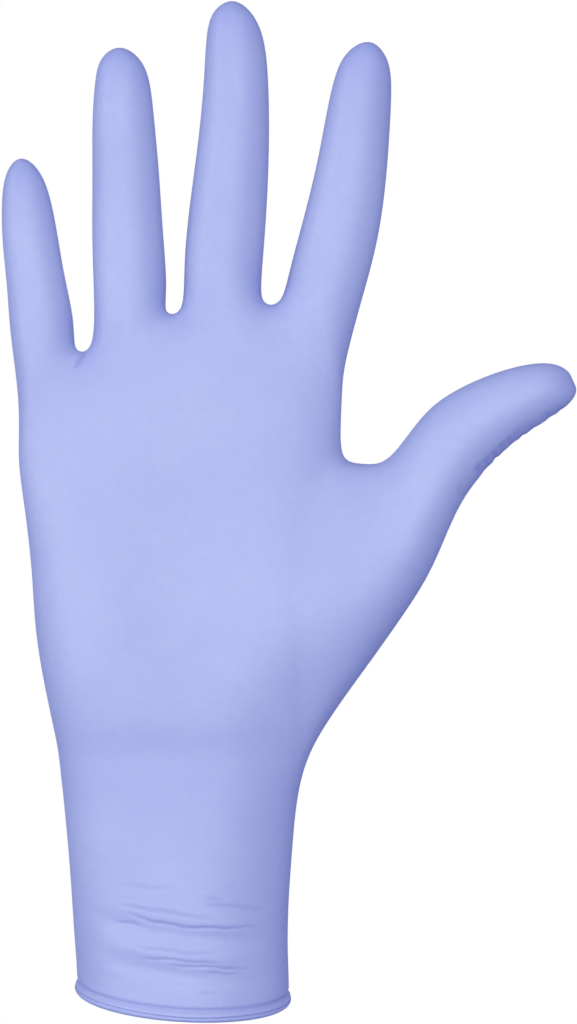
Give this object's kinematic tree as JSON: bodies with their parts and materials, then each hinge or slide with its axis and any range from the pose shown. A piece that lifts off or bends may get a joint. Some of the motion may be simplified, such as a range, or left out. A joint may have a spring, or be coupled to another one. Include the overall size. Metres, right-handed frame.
{
  "type": "nitrile exam glove",
  "caption": "Thin dipped glove in its worn form, open at a beaded cuff, with spread fingers and the thumb out to the side.",
  "frame": {"origin": "middle of the cuff's opening, where the wrist goes in", "axes": "+Z runs from the cuff to the fingertips, the palm faces -Y, and the thumb points to +X"},
  "size_m": [0.1361, 0.0437, 0.2404],
  "materials": {
    "nitrile": "satin"
  },
  "bodies": {
    "root": {"glove": "nitrile"}
  },
  "joints": []
}
